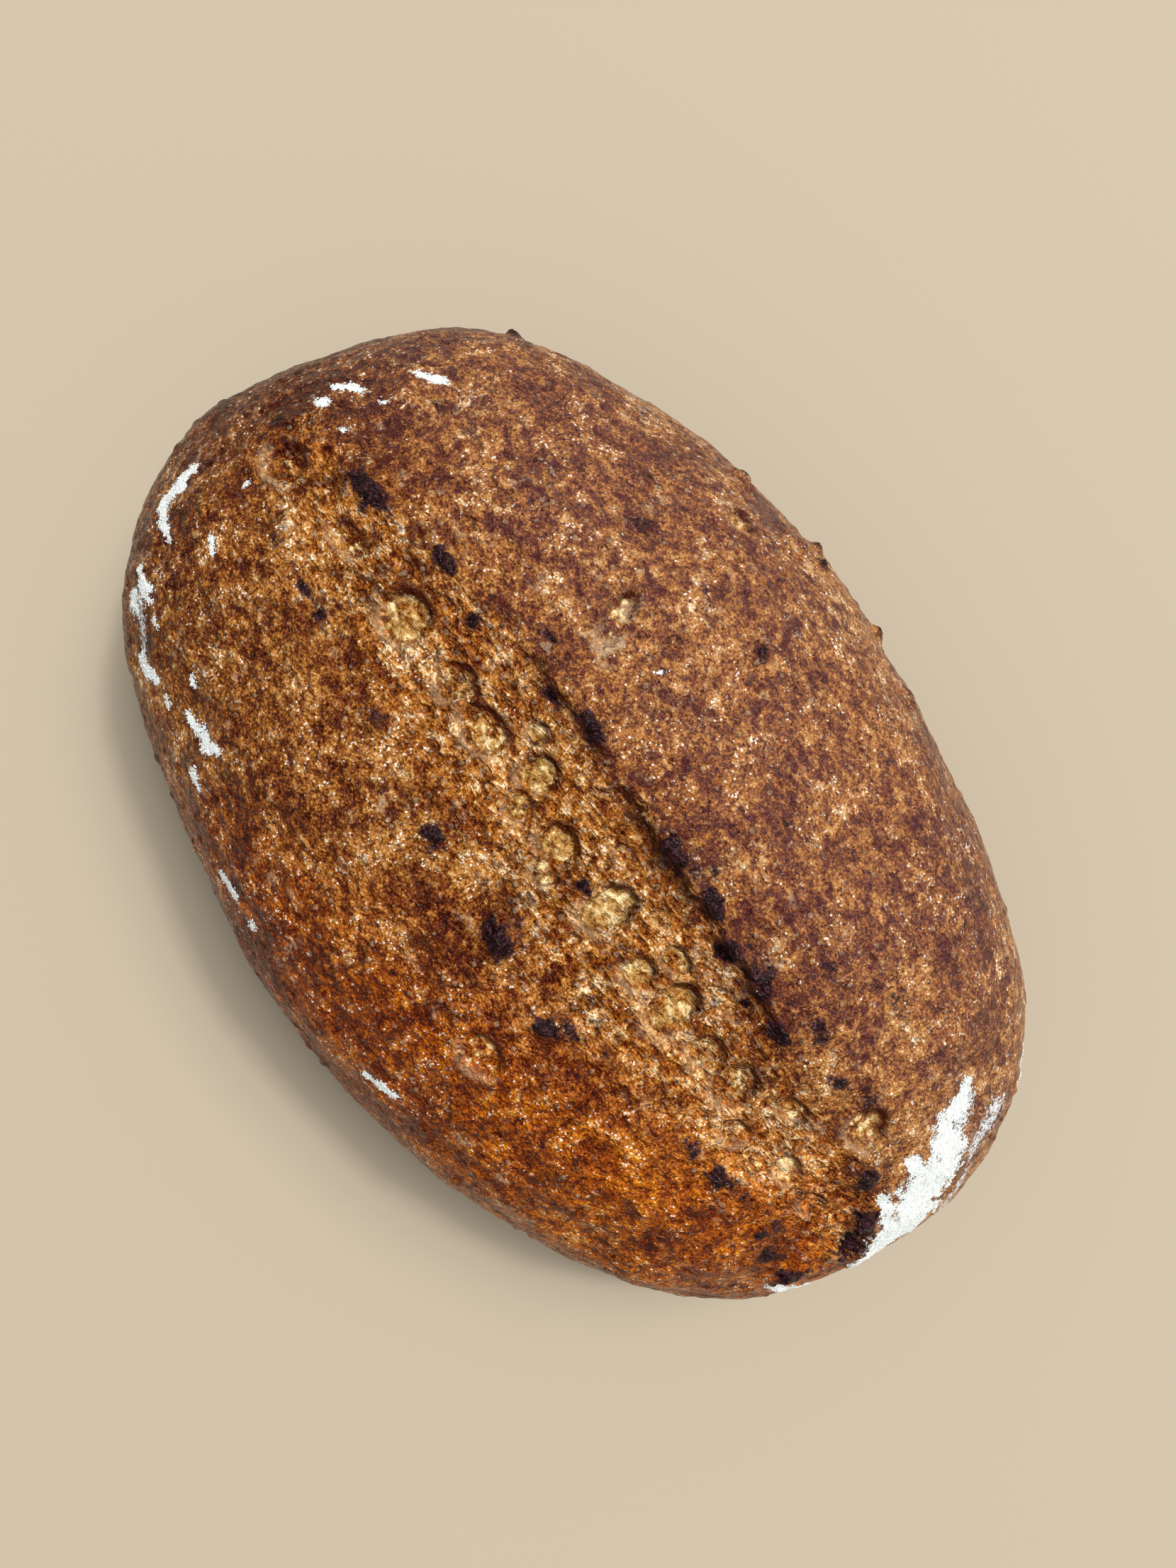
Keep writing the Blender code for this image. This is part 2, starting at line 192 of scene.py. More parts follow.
# How spots are drawn: how far their places and edges wander, how soft they are and how dark
SPOT_WANDER = 2.0
SPOT_RAGGEDNESS = 2.4
DISH_RAGGEDNESS = 0.22     # share of it that a dish keeps
BURN_SHARPNESS = 1.2
BURN_STRENGTH = 1.2
KNOB_BURN = 1.3
PATCH_SHARPNESS = 1.5
FACING_UP = (0.02, 0.30)   # nothing but plain crust lies where the crust faces down
# Swells of the dough: waves that cross each other, each shorter and turned on from the one before
SWELL_COUNT = 9
LONGEST_SWELL = 72.0
SWELL_SHORTENING = 0.82
SWELL_STEEPNESS = 0.006
SWELL_ON_SIDES = 0.35
SWELL_TURN = 2.4
SWELL_RISE = 0.55
SIDES_TO_BACK = (20, 62)
RELIEF_FROM = (1.5, 12.0)
# Fine relief in millimetres. An edge is where a cell's bump or pit is full and where it ends, as shares.
# The second figure of a rise is what the loaf's back adds, or for crumbs the opened strip.
LUMP_SIZE = 9.0
LUMP_RISE = (0.9, 1.5)
BLISTER_SIZE = 4.2
BLISTER_EDGE = (0.10, 0.42)
BLISTERS_KEPT = (0.62, 0.80)
BLISTER_RISE = (0.25, 0.30)
NET_TURN = -8              # degrees
NET_STRETCH = (0.62, 1.0, 1.0)
NET_SIZE = 4.4
NET_EDGE = (0.0, 0.16)
NET_RISE = 0.75
PEARL_SIZE = 2.7
PEARL_EDGE = (0.12, 0.50)
PEARL_PATCHES = (0.44, 0.56)
PEARL_RISE = 0.60          # on the opened strip
PEARL_RISE_ON_BACK = 0.10
PIT_SIZE = 3.4
PIT_EDGE = (0.08, 0.26)
PITS_KEPT = (0.74, 0.84)
PIT_DEPTH = 0.6
CRUMB_SIZE = 2.0
CRUMB_RISE = (0.55, 0.55)
BURNT_CRUMB_RISE = 2.2

# The sheet of faces that is drawn out into the crust
FACES_ALONG = 264
FACES_ACROSS = 206
FACES_DOWN = 42
TOP_SHARE = 0.70           # share of the way from crown to base that the top of the sheet covers
DOME_SHARE = 0.83          # the same, for the dome above the widest line
CROWN_SPACING = 0.65       # how close together the rings of faces are at the crown
WELD = 0.000001

# Masks kept on the crust for its colours. The mask at the foot of the ear and the shade mask place painted
# shade; where the shade mask is below zero it places a painted highlight.
MASKS = ("bloom", "groove", "behind", "burnt", "straw", "flour", "dust", "pale", "glassy", "shade", "pearl")

# Zones of the crust's colour: the two distances, in millimetres, between which each comes up
RIGHT_SIDE = (-4.0, 34.0)
LOW_LEFT = (20.0, 54.0)
UPRIGHT = (14.0, 50.0)
NEAR_END = (30.0, 80.0)
# Parts that the light misses, and how much tone that takes off: the low left and far flanks, and their rims
FLANKS = (((10.0, 50.0), 0.20), ((40.0, 95.0), 0.16), ((36.0, 66.0), 0.09), ((72.0, 106.0), 0.16))
ANY_FLANK = 0.06
DARKEST_FLANK = 0.28       # the most that these take off together
# Textures of the crust: offset, size in millimetres, detail and roughness of each noise
NOISES = {
    "broad": ((0, 0, 0), 34.0, 1.0, 0.5), "cloud": ((19, 9, 9), 9.0, 3.0, 0.6),
    "crinkle": ((0, 0, 0), 2.4, 3.0, 0.65), "gather": ((0, 90, 4), 12.0, 2.0, 0.5),
    "skin": ((7, 70, 7), 6.0, 2.0, 0.6), "powder": ((5, 8, 2), 0.5, 3.0, 0.7),
    "sprinkle": ((0, 0, 0), 0.9, 4.0, 0.8),
}
# Offset and size of each set of cells
CELLS = {"grain": ((0, 0, 0), 0.55), "grit": ((5, 3, 1), 0.36), "pebble": ((3, 5, 11), 1.6)}
MIDDLE_TONE = 0.52
TONE_STOPS = (0.0, 0.17, 0.36, 0.50, 0.64, 0.78, 0.90, 1.0)
TONE_WEIGHTS = (0.35, 1.0, 0.26, 0.22, 0.16)   # of the broad noise, crinkles, grains, grit and pebbles
# Layers over the ground: where each starts, where it is full, and how strongly it covers
LAYERS = {
    "strings": (0.36, 0.60, 1), "grain gap": (0.40, 0.70, 0.14), "glint": (0.97, 1.02, 0.75),
    "grit gap": (-0.09, -0.03, 0.70), "soft bran": (0.49, 0.57, 0.34), "bran core": (0.565, 0.62, 0.72),
    "pearls kept": (0.92, 1.0, 1), "pearl": (0.20, 0.60, 0.22), "speck": (0.72, 0.78, 0.75),
    "speck edge": (-0.34, -0.14, 1), "floor": (0.36, 0.84, 1), "straw": (0.20, 0.50, 1),
    "light straw": (0.52, 0.80, 1), "glass": (0.40, 0.72, 1), "scorched": (0.34, 0.60, 0.62),
    "burnt": (0.48, 0.74, 1), "light char": (0.50, 0.95, 1), "dust": (0.74, 0.90, 0.80),
    "powder": (0.20, 0.42, 1), "shiny": (0.45, 0.75, 1),
}
# Painted shadow at the foot of the ear: place and width of its dark line, then of the painted shade on the
# wall on the side of the opened strip
GROOVE = (-0.35, 0.75)     # place and width of the dark line at the foot of the ear
RED_WALL = (-1.9, 1.5)
CRUST_GLOSS = 0.17
DRY_GLOSS = 0.2
GRAIN_SQUASH = ((0.6, 0.6, 0.4), (1.2, 1.2, 0.9))   # least and most stretch of a grain of flour

# Stage, in metres
FLOOR_REACH = 30.0
CAMERA_PLACE = (-0.0049, 0.0062, 0.286)
CAMERA_TURN = 56.1         # degrees
CAMERA_LENS = 27.05
SENSOR_WIDTH = 36.0
WINDOW_PLACE = (-0.32, 3.8, 7.0)
SPARKLE_PLACE = (0.08, 2.8, 5.0)
SKY_COLOUR = (0.97, 0.98, 1.0)


def srgb(red, green, blue):
    """Linear colour of a finish that is given as screen values from 0 to 255."""
    screen = (value / 255 for value in (red, green, blue))
    return tuple((v / 12.92 if v < 0.04045 else ((v + 0.055) / 1.055) ** 2.4) for v in screen)


class Value:
    """An output of a node, in the tree that it belongs to. The usual operators on it add Math nodes."""

    def __init__(self, maker, socket):
        self.maker = maker
        self.socket = socket

    def math(self, operation, *others):
        numbers = dict(enumerate((self, *others)))
        return self.maker.node("ShaderNodeMath", numbers, operation=operation)["Value"]

    def __rsub__(self, other):
        return self.maker.node("ShaderNodeMath", {0: other, 1: self}, operation="SUBTRACT")["Value"]

    def __neg__(self):
        return self * -1

    __add__ = __radd__ = partialmethod(math, "ADD")
    __sub__ = partialmethod(math, "SUBTRACT")
    __mul__ = __rmul__ = partialmethod(math, "MULTIPLY")
    __truediv__ = partialmethod(math, "DIVIDE")
    __pow__ = partialmethod(math, "POWER")
    __abs__ = partialmethod(math, "ABSOLUTE")


class Node:
    """A node whose outputs are read by identifier or name."""

    def __init__(self, maker, node):
        self.maker = maker
        self.node = node

    def __getitem__(self, name):
        return Value(self.maker, find_socket(self.node.outputs, name))


def find_socket(sockets, name):
    """The socket with that number or identifier, or else the one in use that has that name."""
    if isinstance(name, int):
        return sockets[name]
    found = [socket for socket in sockets if socket.identifier == name]
    found += [socket for socket in sockets if socket.name == name and socket.enabled]
    return found[0]


class Maker:
    """Adds nodes to one tree, of a material or of geometry."""

    def __init__(self, tree):
        self.tree = tree

    def node(self, kind, sockets=None, **settings):
        """A new node, with the values or links of its sockets and with its settings."""
        node = self.tree.nodes.new(kind)
        for name, value in settings.items():
            if name == "stops":
                ramp = node.color_ramp
                while len(ramp.elements) < len(value):
                    ramp.elements.new(1.0)
                for element, (place, colour) in zip(ramp.elements, value):
                    element.position = place
                    element.color = (*colour, 1.0)
            elif name == "points":
                curve = node.mapping.curves[0]
                while len(curve.points) < len(value):
                    curve.points.new(1.0, 1.0)
                for point, place in zip(curve.points, value):
                    point.location = place
                    point.handle_type = "AUTO_CLAMPED"
                node.mapping.update()
            else:
                setattr(node, name, value)
        for name, value in (sockets or {}).items():
            socket = find_socket(node.inputs, name)
            if isinstance(value, Value):
                self.tree.links.new(value.socket, socket)
            elif socket.type == "RGBA" and len(value) == 3:
                socket.default_value = (*value, 1.0)
            else:
                socket.default_value = value
        return Node(self, node)

    def vector_math(self, operation, *sockets):
        return self.node("ShaderNodeVectorMath", dict(enumerate(sockets)), operation=operation)

    def scaled(self, vector, scale):
        sockets = {"Vector": vector, "Scale": scale}
        return self.node("ShaderNodeVectorMath", sockets, operation="SCALE")["Vector"]

    def stretched(self, vector, along, across, up):
        return self.vector_math("MULTIPLY", vector, (along, across, up))["Vector"]

    def moved(self, vector, offset):
        return self.vector_math("ADD", vector, offset)["Vector"]

    def turned(self, vector, angle):
        return self.node("ShaderNodeVectorRotate", {"Vector": vector, "Angle": angle},
                         rotation_type="Z_AXIS")["Vector"]

    def split(self, vector):
        parts = self.node("ShaderNodeSeparateXYZ", {"Vector": vector})
        return parts["X"], parts["Y"], parts["Z"]

    def joined(self, x, y, z):
        return self.node("ShaderNodeCombineXYZ", {"X": x, "Y": y, "Z": z})["Vector"]

    def noise(self, place, size, detail=2.0, roughness=0.5, distortion=0.0, output="Fac"):
        """Noise from 0 to 1 whose lumps are about that many millimetres across."""
        return self.node("ShaderNodeTexNoise", {
            "Vector": place, "Scale": 1 / size, "Detail": detail, "Roughness": roughness,
            "Distortion": distortion})[output]

    def cells(self, place, size, feature="F1"):
        """Cells about that many millimetres across: their Distance from the middle, and a Color for each."""
        return self.node("ShaderNodeTexVoronoi", {"Vector": place, "Scale": 1 / size}, feature=feature)

    def dot(self, cell, near, far):
        """1 in the middle of a cell, down to 0 away from it."""
        return 1 - self.smooth(cell["Distance"], near, far)

    def smooth(self, value, low, high):
        """0 below low, 1 above high, eased between them."""
        return self.node("ShaderNodeMapRange", {"Value": value, "From Min": low, "From Max": high},
                         interpolation_type="SMOOTHSTEP")["Result"]

    def clamped(self, value):
        return self.node("ShaderNodeClamp", {"Value": value})["Result"]

    def use(self, group, sockets):
        """A node that runs a node group."""
        return self.node("GeometryNodeGroup", sockets, node_tree=group)

    def mix(self, share, first, second, blend="MIX"):
        """Blend of two colours."""
        return self.node("ShaderNodeMix", {"Factor_Float": share, "A_Color": first, "B_Color": second},
                         data_type="RGBA", blend_type=blend)["Result_Color"]


def either(operation, plain):
    """A function that works on plain numbers and on values in a tree alike."""
    def work(first, *others):
        return first.math(operation, *others) if isinstance(first, Value) else plain(first, *others)
    return work


cosine = either("COSINE", math.cos)
sine = either("SINE", math.sin)
exponential = either("EXPONENT", math.exp)
larger = either("MAXIMUM", max)
smaller = either("MINIMUM", min)


def hump(value, middle, width):
    """1 at the middle, falling to 0 on both sides."""
    return exponential(-(((value - middle) / width) ** 2))


# The form of the loaf. These work on plain numbers and on values in a tree alike.

def outline(turn, half_length, half_width):
    """Reach of the loaf along and across at its widest line, for an angle round the oval."""
    along, across = cosine(turn), sine(turn)
    squareness = (abs(along) ** OUTLINE_POWER + abs(across) ** OUTLINE_POWER) ** (-1 / OUTLINE_POWER)
    bulge = 1.0
    for waves, in_step, out_of_step in OUTLINE_BULGES:
        bulge = bulge + in_step * cosine(turn * waves) + out_of_step * sine(turn * waves)
    return half_length * along * squareness * bulge, half_width * across * squareness * bulge


def floury_end(turn):
    """1 at the floury end of the oval, falling to 0 away from it."""
    return exponential(-((turn / END_SPREAD) ** 2))


def dome_height(share, turn, height):
    """Height of the top crust at a share of the way out from the crown to the widest line."""
    side = SIDE_HEIGHT - END_DROP * floury_end(turn)
    return side + (height - side) * larger(1 - share ** DOME_ACROSS, 0.0) ** (1 / DOME_UP)


def crust_place(along, across, loaf):
    """The point of the smooth top crust above a place in plan."""
    turn = math.atan2(across / loaf.half_width, along / loaf.half_length)
    reach = math.hypot(*outline(turn, loaf.half_length, loaf.half_width))
    return along, across, dome_height(min(math.hypot(along, across) / reach, 1.0), turn, loaf.height)


# Pieces of the geometry trees

def new_tree(name, sizes, has_mesh=False):
    """A geometry tree with named inputs for its sizes, and the values of those inputs."""
    tree = bpy.data.node_groups.new(name, "GeometryNodeTree")
    tree.interface.new_socket("Geometry", in_out="OUTPUT", socket_type="NodeSocketGeometry")
    if has_mesh:
        tree.interface.new_socket("Geometry", in_out="INPUT", socket_type="NodeSocketGeometry")
    for label, value in sizes.items():
        kind = "NodeSocketInt" if isinstance(value, int) else "NodeSocketFloat"
        socket = tree.interface.new_socket(label, in_out="INPUT", socket_type=kind)
        socket.default_value = value
    maker = Maker(tree)
    return maker, maker.node("NodeGroupInput")


def finish_tree(maker, geometry, material):
    """Ends a tree in Realize Instances and Set Material."""
    real = maker.node("GeometryNodeRealizeInstances", {"Geometry": geometry})["Geometry"]
    painted = maker.node("GeometryNodeSetMaterial", {"Geometry": real, "Material": material})["Geometry"]
    maker.node("NodeGroupOutput", {"Geometry": painted})


def placed(name, data):
    """A new object in the scene with that data."""
    new = bpy.data.objects.new(name, data)
    bpy.context.scene.collection.objects.link(new)
    return new


def baked(name, tree, sizes, mesh=None):
    """A new object with the plain mesh that a geometry tree makes from those sizes."""
    source = placed(name + " maker", mesh or bpy.data.meshes.new(name + " maker"))
    modifier = source.modifiers.new(name, "NODES")
    modifier.node_group = tree
    for item in tree.interface.items_tree:
        if item.in_out == "INPUT" and item.name in sizes:
            modifier[item.identifier] = sizes[item.name]
    depsgraph = bpy.context.evaluated_depsgraph_get()
    made = bpy.data.meshes.new_from_object(source.evaluated_get(depsgraph), preserve_all_data_layers=True,
                                           depsgraph=depsgraph)
    source.modifiers.clear()
    bpy.data.objects.remove(source)
    if not made.polygons:
        raise RuntimeError(name + " came out empty")
    return placed(name, made)


def follow(maker, line, along):
    """Value of a line given as points, at each place along the loaf."""
    places, values = zip(*line)
    start, reach = places[0], places[-1] - places[0]
    low, rise = min(values) - 1, max(values) - min(values) + 2
    points = [((place - start) / reach, (value - low) / rise) for place, value in line]
    curve = maker.node("ShaderNodeFloatCurve", {"Value": (along - start) / reach}, points=points)
    return curve["Value"] * rise + low


def there(maker, line, along):
    """1 where a line runs, fading away past its ends."""
    start, end = line[0][0], line[-1][0]
    return maker.smooth(along, start - LINE_FADE, start) * (1 - maker.smooth(along, end, end + LINE_FADE))


def new_group(work, *made):
    """A node group for some work, with the named outputs and inputs named like the work's arguments."""
    tree = bpy.data.node_groups.new(work.__name__, "GeometryNodeTree")
    given = [name.replace("_", " ").capitalize() for name in inspect.signature(work).parameters][1:]
    for names, side in ((given, "INPUT"), (made, "OUTPUT")):
        for label in names:
            kind = "NodeSocketVector" if label in VECTOR_INPUTS else "NodeSocketFloat"
            tree.interface.new_socket(label, in_out=side, socket_type=kind)
    maker = Maker(tree)
    inputs = maker.node("NodeGroupInput")
    maker.node("NodeGroupOutput", work(maker, *(inputs[label] for label in given)))
    return tree


VECTOR_INPUTS = ("Place", "Centre", "Stretch", "Start", "End")


def spot_sockets(loaf, along, across, length, width, turn):
    """Where a spot lies on the crust, and what makes its oval a circle of radius 1."""
    return {"Centre": crust_place(along, across, loaf), "Turn": math.radians(-turn),
            "Stretch": (2 / length, 2 / width, 4 / (length + width))}


def spot_offset(maker, place, ragged, centre, turn, stretch):
    """Distance from a spot, 1 on the edge of its oval, and the offset in the spot's own directions."""
    offset = maker.vector_math("SUBTRACT", place, centre)["Vector"]
    own = maker.vector_math("MULTIPLY", maker.turned(offset, turn), stretch)["Vector"]
    return maker.vector_math("LENGTH", own)["Value"] * (1 + ragged), own


def knob_work(maker, place, ragged, centre, turn, stretch, height, darkness, relief, cover):
    gap, _ = spot_offset(maker, place, ragged, centre, turn, stretch)
    bump = exponential(-KNOB_SHARPNESS * gap * gap)
    return {"Relief": relief + bump * height, "Cover": larger(cover, bump * darkness)}


def patch_work(maker, place, ragged, centre, turn, stretch, sharpness, strength, cover):
    gap, _ = spot_offset(maker, place, ragged, centre, turn, stretch)
    return {"Cover": larger(cover, exponential(-(gap * gap * sharpness)) * strength)}


def dish_work(maker, place, ragged, centre, turn, stretch, depth, paleness, relief, straw, shade):
    gap, own = spot_offset(maker, place, ragged, centre, turn, stretch)
    hollow = 1 - maker.smooth(gap, DISH_FLOOR, 1.0)
    rim = hump(gap, DISH_RIM_PLACE, DISH_RIM_WIDTH) * DISH_RIM_HEIGHT
    across = maker.split(own)[1]
    # Painted shade on the wall toward the light, less a painted highlight on the wall across from it
    wall = (hump(gap, *DISH_WALL) * maker.smooth(across, -0.1, 0.55)
            - hump(gap, *DISH_LIT_WALL) * maker.smooth(-across, 0.0, 0.6) * 0.5)
    floor = (1 - maker.smooth(gap, *DISH_PALE)) * paleness
    return {"Relief": relief + (rim - hollow) * depth, "Straw": larger(straw, floor), "Shade": shade + wall}


def stroke_work(maker, place, start, end, start_width, end_width, cover):
    """Raises the cover to 0.5 on the edge of one length of a stroke and 1 along its middle."""
    run = maker.vector_math("SUBTRACT", end, start)["Vector"]
    reached = maker.vector_math("SUBTRACT", place, start)["Vector"]
    share = maker.clamped(maker.vector_math("DOT_PRODUCT", reached, run)["Value"]
                          / maker.vector_math("DOT_PRODUCT", run, run)["Value"])
    gap = maker.vector_math("DISTANCE", reached, maker.scaled(run, share))["Value"]
    return {"Cover": larger(cover, 1 - gap / (share * (end_width - start_width) + start_width))}


def stroke_cover(maker, place, strokes, stroke_group):
    """How far into the nearest stroke each place is."""
    cover = 0.0
    for stroke in strokes:
        for (x0, y0, w0), (x1, y1, w1) in zip(stroke, stroke[1:]):
            cover = maker.use(stroke_group, {
                "Place": place, "Start": (x0, y0, 0), "End": (x1, y1, 0), "Start width": w0, "End width": w1,
                "Cover": cover})["Cover"]
    return cover


def score_relief(maker, x, y, place, facing_up, masks):
    """The seam, the opened strip and the ear: their relief, with their masks added to masks."""
    smooth, clamped = maker.smooth, maker.clamped
    ear = follow(maker, EAR_LINE, x)
    seam = follow(maker, SEAM_LINE, x)
    sharp = clamped(follow(maker, GROOVE_DARKNESS, x))
    on_ear = there(maker, EAR_LINE, x) * facing_up
    on_seam = there(maker, SEAM_LINE, x) * facing_up
    wander = (maker.noise(place, WANDER_SIZE, 4.0, 0.7) - 0.5) * WANDER_REACH
    low, high = RISE_RANGE
    rise = follow(maker, EAR_HEIGHT, x) * (low + (high - low) * maker.noise(place, RISE_SIZE, 1.0))
    behind = y - ear + wander * 1.1
    faint, crisp = EAR_LIP
    half_lip = (faint + (crisp - faint) * sharp) / 2
    step = smooth(behind, -half_lip, half_lip)
    lip = step * exponential(-larger(behind, 0.0) / EAR_BACK)
    foot = (1 - step) * exponential(smaller(behind, 0.0) / EAR_FOOT_WIDTH)
    past_seam = smooth(y - seam + wander, 0.0, BLOOM_EDGE)
    past_ear = smooth(y - ear, -BLOOM_EDGE, 0.0)
    masks["bloom"] = past_seam * (1 - smooth(behind, -1.6, 0.6)) * on_ear * on_seam
    # Where the painted shadow at the foot of the ear is laid
    masks["groove"] = sharp * on_ear * smooth(maker.noise(place, 7.0, 2.0), 0.34, 0.52)
    masks["behind"] = larger(smaller(behind, BEHIND_LIMIT), -BEHIND_LIMIT)
    return (on_ear * rise * (lip - EAR_FOOT_DEPTH * foot)
            - BLOOM_DIP * past_seam * (1 - past_ear) * on_ear * on_seam
            - SEAM_DEPTH * on_seam * hump(y - seam + wander, 0.0, SEAM_WIDTH))


def swell_relief(x, y, z):
    """Waves that cross the whole loaf, as dough swells."""
    swell = 0.0
    length = LONGEST_SWELL
    for number in range(SWELL_COUNT):
        angle = SWELL_TURN * number
        run = x * math.cos(angle) + y * math.sin(angle) + z * (SWELL_RISE * (-1) ** number)
        swell = swell + SWELL_STEEPNESS * length * sine(run * (2 * math.pi / length) + number ** 2)
        length *= SWELL_SHORTENING
    return swell


def fine_relief(maker, place, warp, on_back, masks):
    """Lumps, small blisters, pearls and a net of strings on the opened strip, pits, and crumbly burns."""
    def raised(rise, where):
        always, there_too = rise
        return always + where * there_too

    smooth, noise, cells, dot, bloom = maker.smooth, maker.noise, maker.cells, maker.dot, masks["bloom"]
    relief = (noise(place, LUMP_SIZE, 3.0, 0.6) - 0.5) * raised(LUMP_RISE, on_back)
    blister_place = maker.moved(place, maker.scaled(warp, 1.5))
    blisters = cells(blister_place, BLISTER_SIZE)
    kept = smooth(maker.split(blisters["Color"])[0], *BLISTERS_KEPT)
    relief = relief + dot(blisters, *BLISTER_EDGE) * kept * raised(BLISTER_RISE, on_back)
    net_place = maker.stretched(maker.turned(place, math.radians(NET_TURN)), *NET_STRETCH)
    net = dot(cells(maker.moved(net_place, maker.scaled(warp, 4.0)), NET_SIZE, "DISTANCE_TO_EDGE"), *NET_EDGE)
    relief = relief + (net - 0.4) * bloom * NET_RISE
    pearls = (dot(cells(blister_place, PEARL_SIZE), *PEARL_EDGE)
              * smooth(noise(place, 8.0, 2.0), *PEARL_PATCHES) * (1 - net))
    relief = relief + pearls * (bloom * PEARL_RISE + on_back * PEARL_RISE_ON_BACK)
    pits = cells(place, PIT_SIZE)
    pitted = dot(pits, *PIT_EDGE) * smooth(maker.split(pits["Color"])[1], *PITS_KEPT)
    crumbly = noise(place, CRUMB_SIZE, 3.0, 0.65) - 0.5
    # Painted shade in the pits
    masks["shade"] = masks["shade"] + pitted * 0.8
    masks["pearl"] = pearls
    return (relief - pitted * PIT_DEPTH
            + crumbly * (raised(CRUMB_RISE, bloom) + BURNT_CRUMB_RISE * masks["burnt"]))


def crust_relief_and_masks(maker, loaf, relief_scale):
    """What the crust does at each place: how far it stands out, in millimetres, and its masks by name."""
    place = maker.scaled(maker.node("GeometryNodeInputPosition")["Position"], 1 / MM)
    x, y, z = maker.split(place)
    drift = maker.noise(place, 4.0, 2.0, 0.6, output="Color")
    warp = maker.vector_math("SUBTRACT", drift, (0.5, 0.5, 0.5))["Vector"]
    spot_place = maker.moved(place, maker.scaled(warp, SPOT_WANDER))
    ragged = (maker.noise(place, 2.6, 3.0, 0.65) - 0.5) * SPOT_RAGGEDNESS
    dish_ragged = ragged * DISH_RAGGEDNESS
    facing_up = maker.smooth(maker.split(maker.node("GeometryNodeInputNormal")["Normal"])[2], *FACING_UP)
    masks = {}
    relief = score_relief(maker, x, y, place, facing_up, masks)

    def spot(group, oval, turn, edge, **sockets):
        """A node of a group for one spot, for which the other inputs are named without their capital."""
        given = {name.capitalize(): value for name, value in sockets.items()}
        spread = spot_sockets(loaf, *oval, turn)
        return maker.use(group, {"Place": spot_place, "Ragged": edge, **spread, **given})

    knob = new_group(knob_work, "Relief", "Cover")
    patch = new_group(patch_work, "Cover")
    dish = new_group(dish_work, "Relief", "Straw", "Shade")
    stroke = new_group(stroke_work, "Cover")
    burnt = straw = shade = 0.0
    for *oval, height, turn, darkness in KNOBS:
        raised = spot(knob, oval, turn, ragged, height=height, darkness=darkness * KNOB_BURN, relief=relief,
                      cover=burnt)
        relief, burnt = raised["Relief"], raised["Cover"]
    for *oval, turn, darkness in BURNS:
        burnt = spot(patch, oval, turn, ragged, sharpness=BURN_SHARPNESS, strength=darkness * BURN_STRENGTH,
                     cover=burnt)["Cover"]
    for *oval, depth, turn, paleness in DISHES:
        sunk = spot(dish, oval, turn, dish_ragged, depth=depth, paleness=paleness, relief=relief, straw=straw,
                    shade=shade)
        relief, straw, shade = sunk["Relief"], sunk["Straw"], sunk["Shade"]
    masks.update(burnt=maker.clamped(burnt), straw=maker.clamped(straw), shade=shade)
    for name, spots in (("pale", PALE), ("glassy", GLASSY)):
        masks[name] = 0.0
        for *oval, turn, strength in spots:
            masks[name] = spot(patch, oval, turn, ragged, sharpness=PATCH_SHARPNESS, strength=strength,
                               cover=masks[name])["Cover"]

    on_back = maker.smooth(z, *SIDES_TO_BACK)
    relief = relief + swell_relief(x, y, z) * (SWELL_ON_SIDES + (1 - SWELL_ON_SIDES) * on_back)
    relief = relief + fine_relief(maker, place, warp, on_back, masks)
    in_plan = maker.joined(x, y, 0.0)
    for name, strokes in (("flour", FLOUR), ("dust", DUST)):
        masks[name] = stroke_cover(maker, in_plan, strokes, stroke) * facing_up
    return relief * maker.smooth(z, *RELIEF_FROM) * relief_scale, masks


